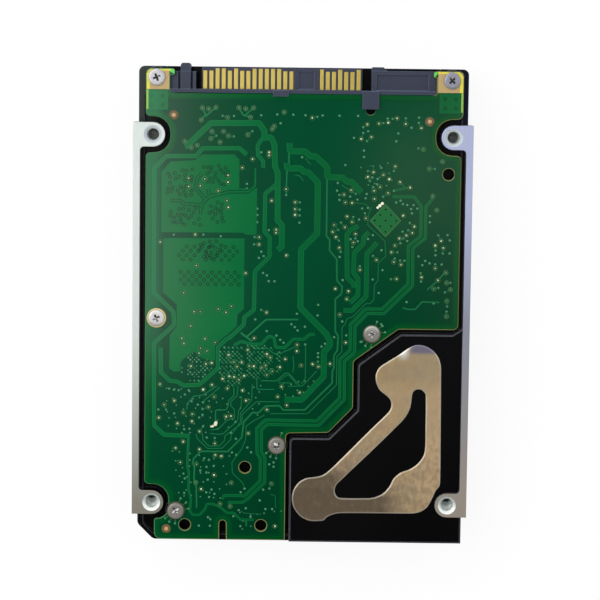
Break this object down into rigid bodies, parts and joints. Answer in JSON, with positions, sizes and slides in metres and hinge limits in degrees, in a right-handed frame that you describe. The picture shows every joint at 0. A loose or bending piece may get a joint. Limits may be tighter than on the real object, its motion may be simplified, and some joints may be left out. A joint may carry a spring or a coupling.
{
  "type": "hard disk drive",
  "caption": "Flat 2.5-inch hard disk drive lying cover down: black casting with bare rails, green circuit board, edge connector, foil seal; spinning discs and a swinging head actuator inside.",
  "frame": {"origin": "middle of the drive's plan, on the cover's outer face", "axes": "+Y to the connector end, +X to the right with the board up and the connector away, +Z out of the board side"},
  "size_m": [0.0698, 0.0996, 0.015],
  "materials": {
    "painted_casting": "satin black electrocoat; rails and ears machined bare",
    "cover_aluminium": "brushed satin",
    "gasket_rubber": "matte",
    "screw_steel": "satin",
    "board_green": "glossy solder mask",
    "chip_black": "moulded",
    "passive_brown": "matte",
    "pad_grey": "matte",
    "natural_plastic": "moulded",
    "polyimide": "film",
    "connector_plastic": "moulded",
    "contact_gold": "gold plated",
    "foil_metal": "satin foil",
    "bearing_bronze": "turned",
    "laminated_steel": "stacked sheet",
    "copper_wire": "enamelled",
    "turned_aluminium": "turned",
    "steel": "ground",
    "magnet_dark": "coated",
    "magnet_nickel": "nickel plated",
    "platter_mirror": "polished",
    "slider_ceramic": "lapped",
    "stop_rubber": "matte",
    "bracket_plastic": "moulded",
    "filter_cloth": "felt"
  },
  "bodies": {
    "chassis": {"base_casting": "painted_casting", "top_cover": "cover_aluminium", "cover_gasket": "gasket_rubber", "cover_screws": "screw_steel", "circuit_board": "board_green", "board_screws": "screw_steel", "controller_chip": "chip_black", "memory_chip": "chip_black", "motor_driver_chip": "chip_black", "flash_chip": "chip_black", "board_passives": "passive_brown", "thermal_pads": "pad_grey", "head_connector": "natural_plastic", "motor_contact_block": "natural_plastic", "motor_flex": "polyimide", "connector_housing": "connector_plastic", "connector_contacts": "contact_gold", "foil_seal": "foil_metal", "bearing_sleeve": "bearing_bronze", "bearing_cap": "steel", "stator_core": "laminated_steel", "stator_coils": "copper_wire", "pivot_shaft": "steel", "deck_yoke": "steel", "cover_yoke": "steel", "deck_magnet": "magnet_nickel", "cover_magnet": "magnet_nickel", "yoke_posts": "steel", "yoke_screws": "screw_steel", "crash_stops": "stop_rubber", "latch_magnet": "magnet_dark", "loading_ramp": "natural_plastic", "ramp_screw": "screw_steel", "flex_loop": "polyimide", "flex_bracket": "bracket_plastic", "bracket_screws": "screw_steel", "recirculation_filter": "filter_cloth", "breather_filter": "filter_cloth", "desiccant_pouch": "filter_cloth"},
    "rotor": {"spindle_hub": "turned_aluminium", "spindle_shaft": "steel", "rotor_magnet": "magnet_dark", "platter_1": "platter_mirror", "platter_2": "platter_mirror", "platter_3": "platter_mirror", "spacer_1": "turned_aluminium", "spacer_2": "turned_aluminium", "disc_clamp": "turned_aluminium", "clamp_screws": "screw_steel"},
    "actuator": {"arm_block": "turned_aluminium", "pivot_bearings": "steel", "coil_frame": "natural_plastic", "voice_coil": "copper_wire", "suspensions": "steel", "head_sliders": "slider_ceramic", "preamp_flex": "polyimide", "preamp_chip": "chip_black"}
  },
  "joints": [
    {"name": "spindle_spin", "type": "hinge", "parent": "chassis", "child": "rotor", "pos_m": [0, 0.0105, 0.00575], "axis": [0, 0, 1], "continuous": true},
    {"name": "actuator_swing", "type": "hinge", "parent": "chassis", "child": "actuator", "pos_m": [0.01302, -0.02509, 0.00575], "axis": [0, 0, -1], "range_deg": [0, 30.6], "deforming": ["flex_loop"]}
  ]
}
